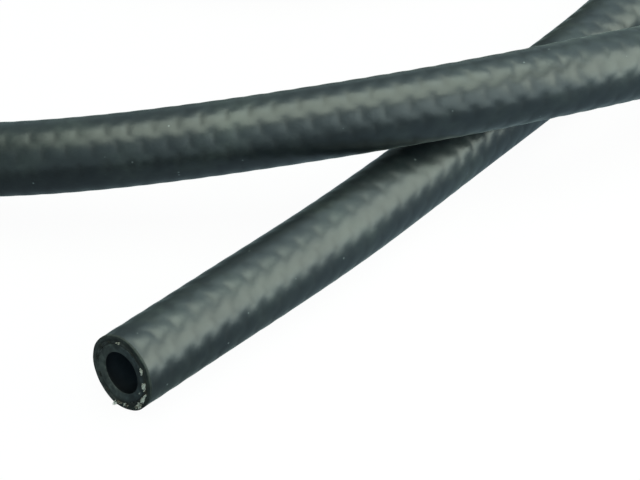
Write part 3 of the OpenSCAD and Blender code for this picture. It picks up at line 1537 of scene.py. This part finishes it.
def add_room(scene, strength):
    """Dim light from all round, brighter over the back right and along the horizon; the
    camera and glass see plain white."""
    world = bpy.data.worlds.new("room")
    scene.world = world
    world.use_nodes = True
    world.node_tree.nodes.clear()
    t = Tree(world.node_tree)
    way = t.vector("NORMALIZE", t.add("ShaderNodeTexCoord").outputs["Generated"])
    right, away, rise, *_ = t.split(way)
    back = t.vector("DOT_PRODUCT", way, (0.36, 0.47, 0.81))
    front = t.vector("DOT_PRODUCT", way, (0.1, -0.72, 0.69))
    horizon = t.product(
        t.ramp(rise, 0.0, 0.3, 0.45, 0.0), t.ramp(right, 0.0, 0.3, 1.0, 0.1)
    )
    low_right = t.product(
        t.ramp(rise, 0.0, 0.4, 1.3, 0.0),
        t.ramp(right, 0.3, 0.8),
        t.ramp(away, -0.1, 0.35, 1.0, 0.0),
    )
    all_round = 0.13
    glow = t.total(
        horizon,
        all_round,
        t.ramp(away, -0.2, 0.6, 0.0, 0.13),
        t.ramp(back, 0.78, 0.97, 0.0, 0.62),
        t.ramp(front, 0.72, 0.98, 0.0, 0.38),
        low_right,
    )
    light = t.add(
        "ShaderNodeBackground",
        {"Color": (0.72, 0.96, 1.03, 1.0), "Strength": t.product(glow, strength)},
    )
    plain = t.add("ShaderNodeBackground", {"Color": WHITE, "Strength": 1.0})
    path = t.add("ShaderNodeLightPath").outputs
    seen = t.math("MAXIMUM", path["Is Camera Ray"], path["Is Transmission Ray"])
    mix = t.add("ShaderNodeMixShader", {0: seen, 1: light.outputs[0], 2: plain.outputs[0]})
    t.add("ShaderNodeOutputWorld", {"Surface": mix.outputs[0]})


def pale_floor(stage):
    """A floor that is white to the camera, keeps a faint shadow, and is dimmer to gloss."""
    material, t, shader = new_material("pale_floor")
    path = t.add("ShaderNodeLightPath").outputs
    camera = path["Is Camera Ray"]
    t.fill(
        shader,
        {
            "Base Color": t.mix_colour(camera, stage.floor_colour, WHITE),
            "Roughness": 0.95,
            "Specular IOR Level": 0.1,
        },
    )
    # Painted reflection: gloss sees the floor as a glow, not lit, dimmer at the front left
    # and brighter at the back right
    mirrored = t.math("MAXIMUM", path["Is Glossy Ray"], path["Is Transmission Ray"])
    seen = t.math("MAXIMUM", camera, mirrored)
    corner = t.vector("DOT_PRODUCT", object_place(t), (0.7, 0.7, 0.0))
    far = t.ramp(corner, -0.17, -0.04)
    colour = t.mix_colour(far, stage.mirrored_near, stage.mirrored_far)
    colour = t.mix_colour(camera, colour, WHITE)
    glow = t.add("ShaderNodeEmission", {"Color": colour, "Strength": 1.0})
    mix = t.add(
        "ShaderNodeMixShader",
        {0: t.product(seen, FLOOR_GLOW), 1: shader.outputs[0], 2: glow.outputs[0]},
    )
    out = next(node for node in t.tree.nodes if node.type == "OUTPUT_MATERIAL")
    t.feed(out.inputs["Surface"], mix.outputs[0])
    return material


class HOSE_OT_stage(bpy.types.Operator):
    """Set up the camera, the soft boxes, a dim room and a pale floor"""

    bl_idname = "hose.stage"
    bl_label = "Stage"

    def execute(self, context):
        scene = context.scene
        stage = scene.hose_stage
        camera = new_object("camera", bpy.data.cameras.new("camera"))
        camera.location = stage.camera_place
        camera.rotation_euler = (math.pi / 2 - stage.camera_tilt, 0.0, 0.0)
        camera.data.sensor_width = 36.0
        camera.data.lens = stage.lens
        camera.data.clip_start, camera.data.clip_end = 0.01, 50.0  # metres
        scene.camera = camera
        scene.view_settings.view_transform = "Standard"

        soft_box(
            "top_lamp", (0.1, -0.1, 1.0), (0.1, -0.1, 0.0), 0.92, 0.9,
            stage.top_strength, (0.87, 1.0, 0.83),
        )
        soft_box(
            "side_lamp", (1.15, -0.15, 0.6), (0.0, -0.15, 0.05), 1.2, 1.0,
            stage.side_strength, (0.88, 1.0, 0.86),
        )
        soft_box(
            "front_lamp", (0.67, -0.95, 0.62), (0.0, -0.1, 0.02), 0.9, 0.95,
            stage.front_strength, (0.8, 0.98, 0.96),
        )
        add_room(scene, stage.room_strength)

        count, reach = 64, 6.0
        turns = [TURN * k / count for k in range(count)]
        mesh = bpy.data.meshes.new("floor")
        rim = [(reach * math.cos(a), reach * math.sin(a), 0.0) for a in turns]
        mesh.from_pydata(rim, [], [tuple(range(count))])
        floor = new_object("floor", mesh)
        mesh.materials.append(pale_floor(stage))
        return {"FINISHED"}


# ---------------------------------------------------------------- panel and registration


class HOSE_PT_panel(bpy.types.Panel):
    """The pieces of the hose and its stage"""

    bl_label = "Air hose"
    bl_idname = "HOSE_PT_panel"
    bl_space_type = "VIEW_3D"
    bl_region_type = "UI"
    bl_category = "Air hose"

    def draw(self, context):
        column = self.layout.column()
        for step in STEPS:
            column.operator(step.bl_idname)
        for name, _ in GROUPS:
            box = self.layout.box()
            group = getattr(context.scene, name)
            for key in group.__annotations__:
                box.prop(group, key)


STEPS = (HOSE_OT_stage, HOSE_OT_cover, HOSE_OT_braid, HOSE_OT_liner, HOSE_OT_yarn_ends)
GROUPS = (
    ("hose_sizes", HoseSizes),
    ("hose_finish", HoseFinish),
    ("hose_stage", HoseStage),
)


def register():
    """Make the sizes, the steps and the panel known to Blender."""
    for _, group in GROUPS:
        bpy.utils.register_class(group)
    for step in STEPS:
        bpy.utils.register_class(step)
    bpy.utils.register_class(HOSE_PT_panel)
    for name, group in GROUPS:
        setattr(bpy.types.Scene, name, PointerProperty(type=group))


def unregister():
    """Take back what register has added."""
    for name, _ in reversed(GROUPS):
        delattr(bpy.types.Scene, name)
    bpy.utils.unregister_class(HOSE_PT_panel)
    for step in reversed(STEPS):
        bpy.utils.unregister_class(step)
    for _, group in reversed(GROUPS):
        bpy.utils.unregister_class(group)


def declare_hose(scene):
    """Work out points along the hose's middle line, a step apart, and the crossing mouth;
    nothing uses them.
    """
    line = HoseLine(scene.hose_sizes)
    step = 0.0025
    stops = np.arange(0.0, line.length, step)
    path = np.concatenate([line.at(stops)[0], [line.cross_mouth]])


def main():
    """Build the stage and the hose, and work out points along the hose's line."""
    register()
    bpy.ops.hose.stage()
    bpy.ops.hose.cover()
    bpy.ops.hose.braid()
    bpy.ops.hose.liner()
    bpy.ops.hose.yarn_ends()
    declare_hose(bpy.context.scene)


if __name__ == "__main__":
    main()
